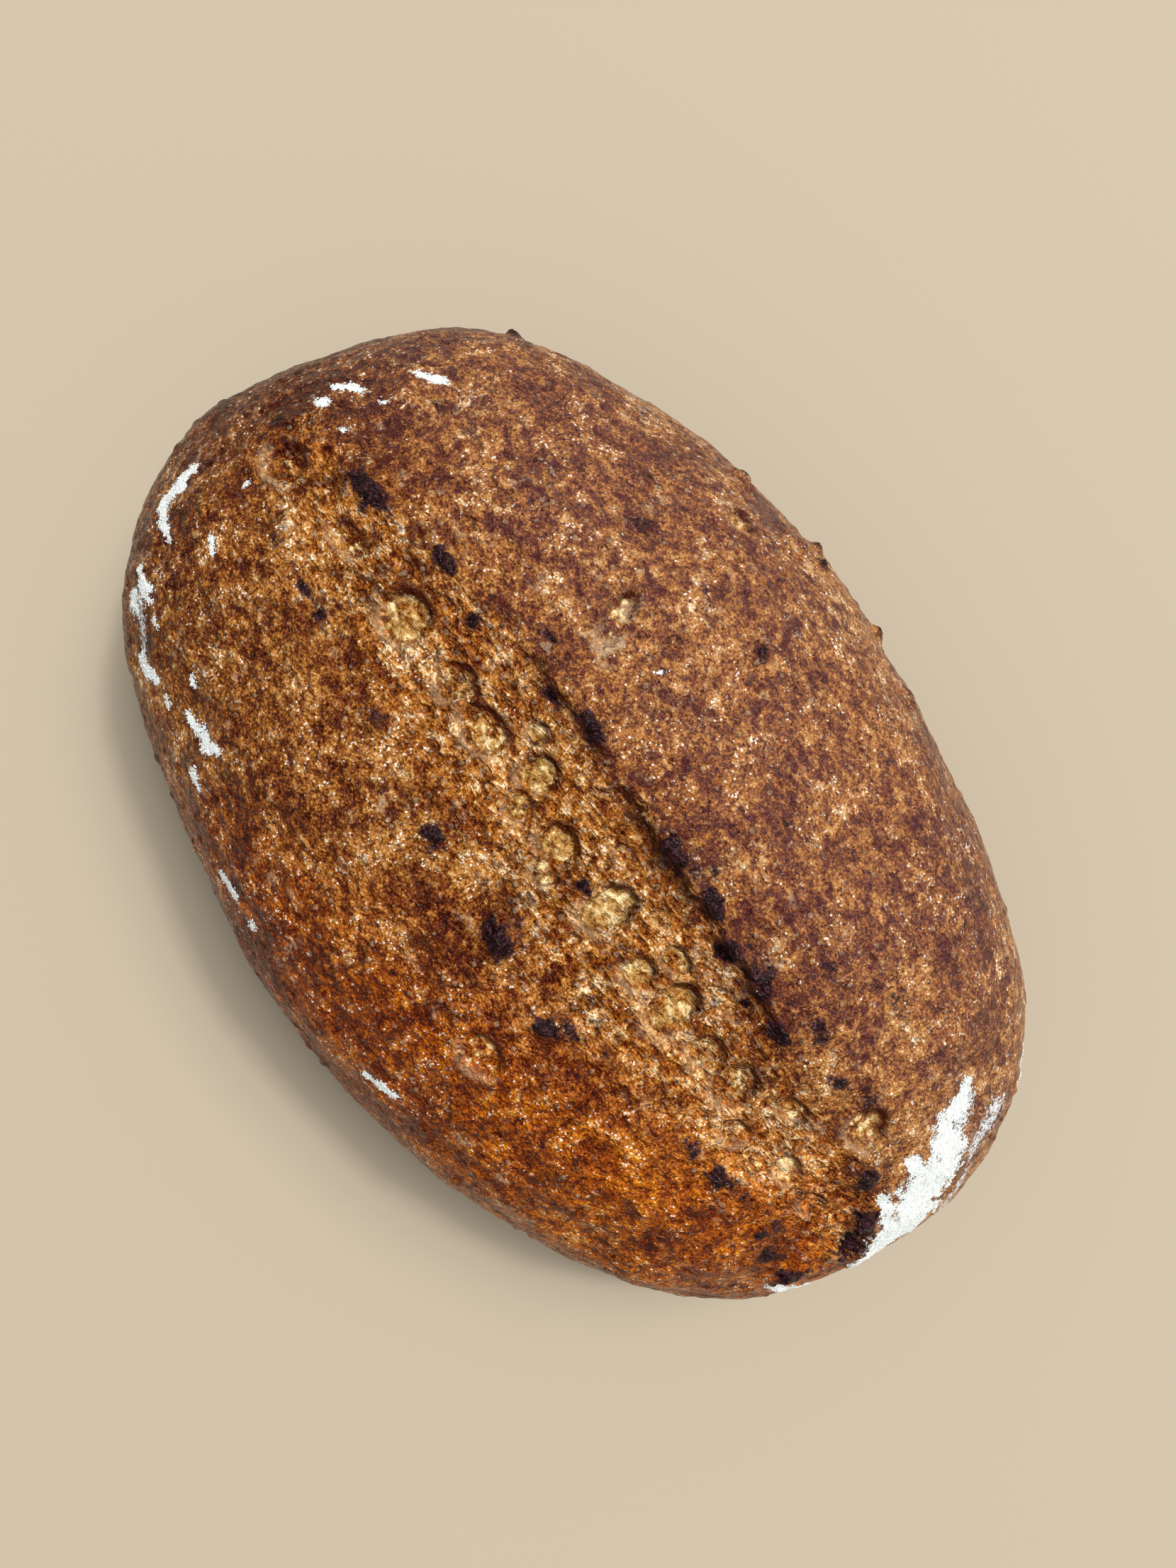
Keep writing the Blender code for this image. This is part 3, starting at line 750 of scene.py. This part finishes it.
def crust_tree(loaf, material):
    """Geometry tree of the crust: a box of faces drawn to the oval dome, raised, sunk and closed below."""
    sizes = {"Half length": loaf.half_length, "Half width": loaf.half_width, "Height": loaf.height,
             "Relief": loaf.relief}
    maker, given = new_tree("crust", sizes)
    box = maker.node("GeometryNodeMeshCube", {
        "Size": (2.0, 2.0, 2.0), "Vertices X": FACES_ALONG + 1, "Vertices Y": FACES_ACROSS + 1,
        "Vertices Z": FACES_DOWN + 1})["Mesh"]
    x, y, z = maker.split(maker.node("GeometryNodeInputPosition")["Position"])
    underside = z.math("LESS_THAN", -0.999)
    sheet = maker.node("GeometryNodeDeleteGeometry", {"Geometry": box, "Selection": underside}, domain="FACE")
    ring = larger(abs(x), abs(y))
    eighth = math.pi / 4
    turn = (y / ring * eighth).math("TANGENT").math("ARCTAN2", (x / ring * eighth).math("TANGENT"))
    way = ring * TOP_SHARE + (1 - z) * ((1 - TOP_SHARE) / 2)
    up = maker.clamped(way / DOME_SHARE)
    top_share = sine(up * (up * (1 - CROWN_SPACING) + CROWN_SPACING) * (math.pi / 2))
    under = maker.clamped((way - DOME_SHARE) / (1 - DOME_SHARE)) * (math.pi / 2)
    end = floury_end(turn)
    side = SIDE_HEIGHT - END_DROP * end
    base = 1 - TUCK + (TUCK - END_TUCK) * end
    on_dome = way.math("LESS_THAN", DOME_SHARE)
    wall_share = base + (1 - base) * cosine(under)
    share = on_dome * top_share + (1 - on_dome) * wall_share
    height = (on_dome * dome_height(top_share, turn, given["Height"])
              + (1 - on_dome) * side * (1 - sine(under)))
    reach_x, reach_y = outline(turn, given["Half length"], given["Half width"])
    smooth_crust = maker.joined(reach_x * share * MM, reach_y * share * MM, height * MM)
    mesh = maker.node("GeometryNodeSetPosition",
                      {"Geometry": sheet["Geometry"], "Position": smooth_crust})["Geometry"]

    relief, masks = crust_relief_and_masks(maker, loaf, given["Relief"])
    for name in MASKS:
        kept = {"Geometry": mesh, "Name": name, "Value": masks[name]}
        mesh = maker.node("GeometryNodeStoreNamedAttribute", kept, data_type="FLOAT",
                          domain="POINT")["Geometry"]
    out = maker.scaled(maker.node("GeometryNodeInputNormal")["Normal"], relief * MM)
    mesh = maker.node("GeometryNodeSetPosition", {"Geometry": mesh, "Offset": out})["Geometry"]

    open_edge = maker.node("GeometryNodeInputMeshEdgeNeighbors")["Face Count"].math("COMPARE", 1.0, 0.1)
    rim = maker.node("GeometryNodeMeshToCurve", {"Mesh": mesh, "Selection": open_edge})["Curve"]
    base_face = maker.node("GeometryNodeFillCurve", {"Curve": rim})["Mesh"]
    base_face = maker.node("GeometryNodeFlipFaces", {"Mesh": base_face})["Mesh"]
    join = maker.node("GeometryNodeJoinGeometry")
    for part in (mesh, base_face):
        maker.tree.links.new(part.socket, join.node.inputs[0])
    closed = maker.node("GeometryNodeMergeByDistance",
                        {"Geometry": join["Geometry"], "Distance": WELD})["Geometry"]
    closed = maker.node("GeometryNodeSetShadeSmooth", {"Geometry": closed, "Shade Smooth": True})["Geometry"]
    finish_tree(maker, closed, material)
    return maker.tree, sizes


# Finishes

def blank(owner):
    """A maker of nodes for the emptied tree of a material or a world."""
    owner.use_nodes = True
    owner.node_tree.nodes.clear()
    return Maker(owner.node_tree)


def new_material(name):
    material = bpy.data.materials.new(name)
    return material, blank(material)


def finish_material(maker, colour, roughness, gloss, more=None):
    shader = maker.node("ShaderNodeBsdfPrincipled", {
        "Base Color": colour, "Roughness": roughness, "Specular IOR Level": gloss, **(more or {})})
    maker.node("ShaderNodeOutputMaterial", {"Surface": shader["BSDF"]})


def flour_cover(maker, place, flour):
    """Ragged, grainy edge of the flour, from how far into a stroke each place is."""
    ragged = (maker.noise(place, 2.6, 6.0, 0.8) - 0.5) * 3.4
    return maker.smooth(flour + ragged * maker.smooth(flour, 0.02, 0.4), 0.46, 0.54)


def crust_material(look):
    """Baked crust: amber and brown grain, bran, burns, straw blister floors and flour."""
    material, maker = new_material("baked crust")
    smooth, mix, clamped, split = maker.smooth, maker.mix, maker.clamped, maker.split

    def layer(name, value):
        """How strongly a layer covers where it has that value."""
        low, high, strength = LAYERS[name]
        share = smooth(value, low, high)
        return share if strength == 1 else share * strength

    place = maker.scaled(maker.node("ShaderNodeTexCoord")["Object"], 1 / MM)
    x, y, z = split(place)
    mask = {name: maker.node("ShaderNodeAttribute", attribute_name=name)["Fac"] for name in MASKS}
    bloom, glassy = mask["bloom"], mask["glassy"]
    right, edge = smooth(y, *RIGHT_SIDE), 1 - smooth(z, *UPRIGHT)
    low_left, near_end = smooth(x * 0.42 - y, *LOW_LEFT), smooth(x - y * 0.5, *NEAR_END)

    # Ground of the crust: clouds and crinkles, and grains, grit and pebbles that each have their own tone.
    # The crinkles also raise the bump, so their tone paints shade into the low creases, and the edges of the
    # grains get painted shade as well.
    broad, cloud, crinkle, gather, skin, powder, sprinkle = (
        maker.noise(maker.moved(place, offset), *texture) for offset, *texture in NOISES.values())
    grain, grit, pebble = (maker.cells(maker.moved(place, offset), size) for offset, size in CELLS.values())
    grain_tone, grain_shine, _ = split(grain["Color"])
    grit_tone, grit_kind, _ = split(grit["Color"])
    pebble_tone, pebble_kind, pebble_size = split(pebble["Color"])
    crinkled, grained = crinkle - 0.5, grain_tone - 0.5
    # Strings of stretched dough in the opened strip, and glassy pearls, the smallest bubbles under the skin
    along_strip = maker.stretched(maker.turned(place, math.radians(NET_TURN)), 0.34, 1.0, 1.0)
    string = layer("strings", maker.noise(along_strip, 2.3, 3.0, 0.62, 1.3))
    pearly = clamped(bloom * 0.75 + glassy + mask["pearl"] * 0.4 + 0.10 * (1 - edge))
    pearl = (larger(1 - (pebble["Distance"] / 0.46) ** 2, 0.0)
             * layer("pearls kept", pebble_size + pearly * 0.55))
    (left_zone, left), (far_zone, far), (left_rim, left_more), (far_rim, far_more) = FLANKS
    shaded = (edge * (ANY_FLANK + left * smooth(-y, *left_zone) + far * smooth(-x, *far_zone))
              + left_more * smooth(-y, *left_rim) * (1 - near_end) + far_more * smooth(-x, *far_rim))
    # Painted shade: darker in the low crinkles and between the grains
    tone = (MIDDLE_TONE + (cloud - 0.5) * (0.85 - edge * 0.3) - layer("grain gap", grain["Distance"])
            + bloom * ((string - 0.45) * 0.36 + 0.09) + mask["pale"] * 0.12 + near_end * 0.08
            - clamped(shaded / DARKEST_FLANK) * DARKEST_FLANK)
    for part, weight in zip((broad, crinkle, grain_tone, grit_tone, pebble_tone), TONE_WEIGHTS):
        tone = tone + (part - 0.5) * weight
    # The lightest stop of the tone ramp is the painted highlight colour
    tones = (look.deepest, look.dark, look.umber, look.amber, look.tan, look.pale, look.palest, look.cream)
    colour = maker.node("ShaderNodeValToRGB", {"Fac": tone}, stops=tuple(zip(TONE_STOPS, tones)))["Color"]
    # Painted sheen: a whitish haze over the side behind the ear, standing for light glancing off the gloss
    colour = mix(right * 0.07, colour, look.right_haze)
    colour = mix(bloom * 0.6, colour, look.strip_tint, "MULTIPLY")
    # Deeper, more saturated cast on the low left side: partly the crust's own colour, partly painted shade
    # where that side turns from the light
    colour = mix(low_left, colour, look.left_tint, "MULTIPLY")

    # Painted highlights on single grains that catch the light, gaps between grains, bran in blotches that
    # gather, pearls and specks
    blotch = (maker.noise(maker.stretched(place, 0.65, 1.0, 1.0), 2.3, 4.0, 0.72, 0.4) + (gather - 0.5) * 0.34
              + grained * 0.05)
    bran_colour = mix(right, look.bran, look.bran_purple)
    glinting = (cloud - 0.5) * 0.4 + crinkled * 0.4 + bloom * 0.01 - edge * 0.22
    speck = layer("speck edge", -pebble["Distance"]) * layer("speck", pebble_kind)
    for share, tint in ((layer("glint", grit_kind + glinting), look.cream),
                        (layer("grit gap", -(grit_kind + crinkled * 0.2)), look.deepest),
                        (layer("soft bran", blotch), bran_colour), (layer("bran core", blotch), bran_colour),
                        (layer("pearl", pearl), look.pearl), (speck, bran_colour)):
        colour = mix(share, colour, tint)

    # Blister floors with their pinholes, glassy skin, painted shade in hollows and pits with painted
    # highlights on their lit walls, the painted shadow at the foot of the ear, burns and flour
    floor = layer("floor", mask["straw"] + crinkled * 2.3 + (cloud - 0.5) * 0.8 + grained * 0.12)
    straw_tone = crinkle * 1.7 + grain_tone * 0.24 + pebble_tone * 0.22 - 0.60
    straw_colour = mix(layer("straw", straw_tone), look.straw_dark, look.straw)
    straw_colour = mix(layer("light straw", straw_tone), straw_colour, look.straw_light)
    glass = layer("glass", larger(glassy, skin * 1.9 - 0.86) + crinkled * 1.2 + (pebble_tone - 0.5) * 0.3)
    behind = mask["behind"] + crinkled * 4.5 + grained * 0.5
    scorch = mask["burnt"] + crinkled * 1.5 + grained * 0.30 + (cloud - 0.5) * 0.5
    burn = layer("burnt", scorch)
    char_colour = mix(layer("light char", grain_tone), look.burnt, look.burnt_light)
    dusting = layer("dust", mask["dust"] + (sprinkle - 0.5) * 2.6)
    flour = flour_cover(maker, place, mask["flour"])
    for share, tint in ((floor * 0.84, straw_colour), (glass * 0.34, look.glass),
                        (clamped(-mask["shade"]) * 0.7, look.palest),
                        (clamped(mask["shade"] * (1.05 + crinkled * 1.6)), look.hollow),
                        (mask["groove"] * hump(behind, *GROOVE) * 0.92, look.groove),
                        (mask["groove"] * hump(behind, *RED_WALL) * 0.40, look.hollow),
                        (layer("scorched", scorch), look.scorched), (burn * 0.95, char_colour),
                        (dusting * (1 - burn * 0.6), look.flour),
                        (flour * layer("powder", powder), look.flour)):
        colour = mix(share, colour, tint)

    shiny = layer("shiny", grain_shine + bloom * 0.30 + glass * 0.5 - edge * 0.20)
    roughness = clamped(0.34 - shiny * 0.20 - pearl * 0.2 + edge * 0.12 + larger(flour, dusting) * 0.60)
    wrinkled = 1 - floor * 0.45
    height = ((crinkle * 2.1 - grain["Distance"] * 0.24) * wrinkled + cloud * 0.8 - pebble["Distance"] * 0.30
              + pearl * 0.45 + string * bloom * 0.60 * wrinkled) * (1 - flour * 0.75) + flour * powder * 0.22
    bump = maker.node("ShaderNodeBump", {"Strength": 1.0, "Distance": MM, "Height": height * look.grain})
    finish_material(maker, colour, roughness, CRUST_GLOSS, {"Normal": bump["Normal"]})
    return material


def flour_material(look):
    """Dry powder, with a slight change of tone from grain to grain."""
    material, maker = new_material("rye flour")
    place = maker.scaled(maker.node("ShaderNodeTexCoord")["Object"], 1 / MM)
    tone = maker.smooth(maker.noise(place, 0.8, 2.0), 0.35, 0.65)
    finish_material(maker, maker.mix(tone, look.shaded, look.colour), 0.95, DRY_GLOSS)
    return material


def floor_material(look):
    material, maker = new_material("pale floor")
    finish_material(maker, tuple(look.floor), 0.8, DRY_GLOSS)
    return material


def settings(*rows):
    """Settings of a group, from rows of a key, a description, a value and a number's least and most."""
    made = {}
    for key, description, value, *limits in rows:
        shown = {"name": key.replace("_", " ").capitalize(), "description": description}
        if isinstance(value, tuple):
            made[key] = bpy.props.FloatVectorProperty(**shown, default=srgb(*value), subtype="COLOR", size=3,
                                                      min=0.0, max=1.0)
        else:
            kind = bpy.props.IntProperty if isinstance(value, int) else bpy.props.FloatProperty
            made[key] = kind(**shown, default=value, **dict(zip(("min", "max"), limits)))
    return made


class LoafSizes(bpy.types.PropertyGroup):
    """Sizes of the loaf and of its crust's relief."""
    __annotations__ = settings(
        ("half_length", "Half the length of the loaf at its widest line, in millimetres", 116.0, 50.0),
        ("half_width", "Half the width of the loaf at its widest line, in millimetres", 74.8, 30.0),
        ("height", "Height of the crown above the base, in millimetres", 80.0, 20.0),
        ("relief", "How strongly the crust is raised and sunk", 1.0, 0.0))


class CrustLook(bpy.types.PropertyGroup):
    """Colours of the crust."""
    __annotations__ = settings(
        ("deepest", "Darkest gaps in the grain", (30, 3, 1)),
        ("dark", "Dark grain of the crust", (68, 17, 3)),
        ("umber", "Brown grain of the crust", (108, 53, 14)),
        ("amber", "Most of the crust", (143, 86, 28)),
        ("tan", "Light grain of the crust", (170, 113, 50)),
        ("pale", "Pale grain of the crust", (192, 142, 82)),
        # Also the painted highlight on the lit walls of burst blisters
        ("palest", "Lightest grain of the crust", (212, 178, 136)),
        # Painted highlight: the flecks that catch the light and the lightest stop of the crust's tone
        ("cream", "Flecks where the crust catches the light", (250, 238, 222)),
        # Painted sheen over the side behind the ear
        ("right_haze", "Dull bloom over the side behind the ear", (190, 156, 150)),
        ("strip_tint", "Cast of the opened strip", (255, 220, 148)),
        # Partly the crust's own colour, partly painted shade on the low left side
        ("left_tint", "Cast of the low side in front of the seam", (255, 200, 40)),
        ("bran", "Bran in dark blotches and specks", (60, 12, 3)),
        ("bran_purple", "The same behind the ear", (66, 24, 32)),
        ("straw", "Pale floors of the burst blisters", (174, 132, 68)),
        ("straw_light", "Palest places on those floors", (238, 213, 158)),
        ("straw_dark", "Darker places on those floors", (110, 60, 14)),
        ("pearl", "Glassy pearls of dough", (206, 182, 148)),
        ("glass", "Grey, glassy skin of dough", (170, 150, 126)),
        ("hollow", "Shaded wall of a hollow", (64, 19, 4)),
        # Painted shadow at the foot of the ear
        ("groove", "Foot of the ear", (52, 12, 3)),
        ("scorched", "Brown edge of the burns", (72, 32, 26)),
        ("burnt", "Charred knobs", (14, 3, 9)),
        ("burnt_light", "Lighter grain on the charred knobs", (58, 28, 36)),
        ("flour", "Flour that lies on the crust", (218, 225, 226)),
        ("grain", "How deep the fine grain of the crust is", 1.0, 0.0))


class FlourLook(bpy.types.PropertyGroup):
    """The loose grains of flour."""
    __annotations__ = settings(
        ("grains", "Grains of flour on each square millimetre", 11, 1),
        ("smallest", "Radius of the smallest grain, in millimetres", 0.09, 0.02),
        ("largest", "Radius of the largest grain, in millimetres", 0.30, 0.02),
        ("colour", "Dry flour", (216, 220, 216)),
        ("shaded", "Flour grains that are a little darker", (196, 196, 188)))


class StageLook(bpy.types.PropertyGroup):
    """The floor and the light."""
    __annotations__ = settings(
        ("floor", "Plain pale floor", (169, 156, 135)),
        ("light_power", "Power of the large soft light, in watts", 560.0, 0.0),
        ("light_size", "Width of the large soft light, in metres", 3.6, 0.05),
        ("sparkle_power", "Power of the small light that makes glints, in watts", 128.0, 0.0),
        ("sparkle_size", "Width of the small light, in metres", 0.56, 0.01),
        ("fill", "Strength of the even light from all round", 0.64, 0.0),
        ("shine_held_back", "Share of the even light that the gloss doesn't mirror", 0.8, 0.0, 1.0))


class LOAF_OT_crust(bpy.types.Operator):
    """Make the crust and let it stand for the solid loaf"""
    bl_idname = "loaf.crust"
    bl_label = "Crust"

    def execute(self, context):
        tree, sizes = crust_tree(context.scene.loaf_sizes, crust_material(context.scene.crust_look))
        crust = baked("crust", tree, sizes)
        corners = [Vector(corner) for corner in crust.bound_box]
        low, high = (Vector(pick(corner[i] for corner in corners) for i in range(3)) for pick in (min, max))
        frame_low, frame_high = (Vector(corner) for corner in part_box("loaf"))
        middle = (frame_low + frame_high - low - high) / 2
        for vertex in crust.data.vertices:
            vertex.co.x += middle.x
            vertex.co.y += middle.y
        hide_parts("loaf")
        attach(crust, "root")
        return {"FINISHED"}


class LOAF_OT_flour(bpy.types.Operator):
    """Scatter the loose grains of flour over the crust"""
    bl_idname = "loaf.flour"
    bl_label = "Flour grains"

    def execute(self, context):
        look = context.scene.flour_look
        sizes = {"Grains": float(look.grains), "Smallest": look.smallest, "Largest": look.largest, "Seed": 7}
        maker, given = new_tree("flour grains", sizes, has_mesh=True)
        place = maker.scaled(maker.node("GeometryNodeInputPosition")["Position"], 1 / MM)
        mask = maker.node("GeometryNodeInputNamedAttribute", {"Name": "flour"}, data_type="FLOAT")
        cover = flour_cover(maker, place, mask["Attribute"])
        density = cover * given["Grains"] * (1 / MM ** 2)
        points = maker.node("GeometryNodeDistributePointsOnFaces", {
            "Mesh": given["Geometry"], "Density": density, "Seed": given["Seed"]})
        grain = maker.node("GeometryNodeMeshIcoSphere", {"Radius": MM, "Subdivisions": 1})["Mesh"]
        size = maker.node("FunctionNodeRandomValue", {
            "Min_001": given["Smallest"], "Max_001": given["Largest"], "Seed": given["Seed"]},
                          data_type="FLOAT")["Value_001"]
        least, most = GRAIN_SQUASH
        squash = maker.node("FunctionNodeRandomValue", {"Min": least, "Max": most, "Seed": given["Seed"]},
                            data_type="FLOAT_VECTOR")["Value"]
        scale = maker.scaled(squash, size)
        on_crust = maker.node("GeometryNodeInstanceOnPoints", {
            "Points": points["Points"], "Instance": grain, "Rotation": points["Rotation"], "Scale": scale})
        finish_tree(maker, on_crust["Instances"], flour_material(look))
        crust = bpy.data.objects["crust"]
        grains = baked("flour_grains", maker.tree, sizes, crust.data.copy())
        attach(grains, "root")
        return {"FINISHED"}


class LOAF_OT_stage(bpy.types.Operator):
    """Lay the pale floor, hang the soft light and set the camera straight above the loaf"""
    bl_idname = "loaf.stage"
    bl_label = "Stage"

    def execute(self, context):
        look = context.scene.stage_look
        scene = context.scene
        mesh = bpy.data.meshes.new("floor")
        corners = ((-1, -1), (1, -1), (1, 1), (-1, 1))
        mesh.from_pydata([(x * FLOOR_REACH, y * FLOOR_REACH, 0) for x, y in corners], [], [(0, 1, 2, 3)])
        mesh.materials.append(floor_material(look))
        floor = placed("floor", mesh)
        floor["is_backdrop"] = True

        camera = placed("camera above", bpy.data.cameras.new("camera above"))
        camera.data.sensor_width = SENSOR_WIDTH
        camera.data.lens = CAMERA_LENS
        camera.data.clip_start = 0.01
        camera.location = CAMERA_PLACE
        camera.rotation_euler = (0.0, 0.0, math.radians(CAMERA_TURN))
        scene.camera = camera

        for name, size, power, place in (
                ("window light", look.light_size, look.light_power, WINDOW_PLACE),
                ("sparkle light", look.sparkle_size, look.sparkle_power, SPARKLE_PLACE)):
            lamp = placed(name, bpy.data.lights.new(name, "AREA"))
            lamp.data.shape = "SQUARE"
            lamp.data.size = size
            lamp.data.energy = power
            lamp.location = place
            lamp.rotation_euler = (-lamp.location).to_track_quat("-Z", "Y").to_euler()
            lamp.visible_camera = False

        scene.world = bpy.data.worlds.new("even light")
        maker = blank(scene.world)
        mirrored = maker.node("ShaderNodeLightPath")["Is Glossy Ray"]
        sky = maker.node("ShaderNodeBackground", {
            "Color": SKY_COLOUR, "Strength": (1 - mirrored * look.shine_held_back) * look.fill})
        maker.node("ShaderNodeOutputWorld", {"Surface": sky["Background"]})
        scene.view_settings.view_transform = "Standard"
        return {"FINISHED"}


class LOAF_PT_panel(bpy.types.Panel):
    """Lists the sizes, colours and steps of the loaf"""
    bl_idname = "LOAF_PT_panel"
    bl_label = "Oval hearth loaf"
    bl_space_type = "VIEW_3D"
    bl_region_type = "UI"
    bl_category = "Loaf"

    def draw(self, context):
        scene = context.scene
        for group, operator in ((scene.loaf_sizes, None), (scene.crust_look, LOAF_OT_crust),
                                (scene.flour_look, LOAF_OT_flour), (scene.stage_look, LOAF_OT_stage)):
            column = self.layout.column(align=True)
            for name in group.__annotations__:
                column.prop(group, name)
            if operator:
                column.operator(operator.bl_idname)


SETTINGS = {"loaf_sizes": LoafSizes, "crust_look": CrustLook, "flour_look": FlourLook,
            "stage_look": StageLook}
CLASSES = (*SETTINGS.values(), LOAF_OT_crust, LOAF_OT_flour, LOAF_OT_stage, LOAF_PT_panel)


def register():
    for cls in CLASSES:
        bpy.utils.register_class(cls)
    for name, group in SETTINGS.items():
        setattr(bpy.types.Scene, name, bpy.props.PointerProperty(type=group))


def unregister():
    for name in SETTINGS:
        delattr(bpy.types.Scene, name)
    for cls in reversed(CLASSES):
        bpy.utils.unregister_class(cls)


def main():
    register()
    size_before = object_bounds()
    bpy.ops.loaf.crust()
    bpy.ops.loaf.flour()
    bpy.ops.loaf.stage()
    size_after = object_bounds()


if __name__ == "__main__":
    main()
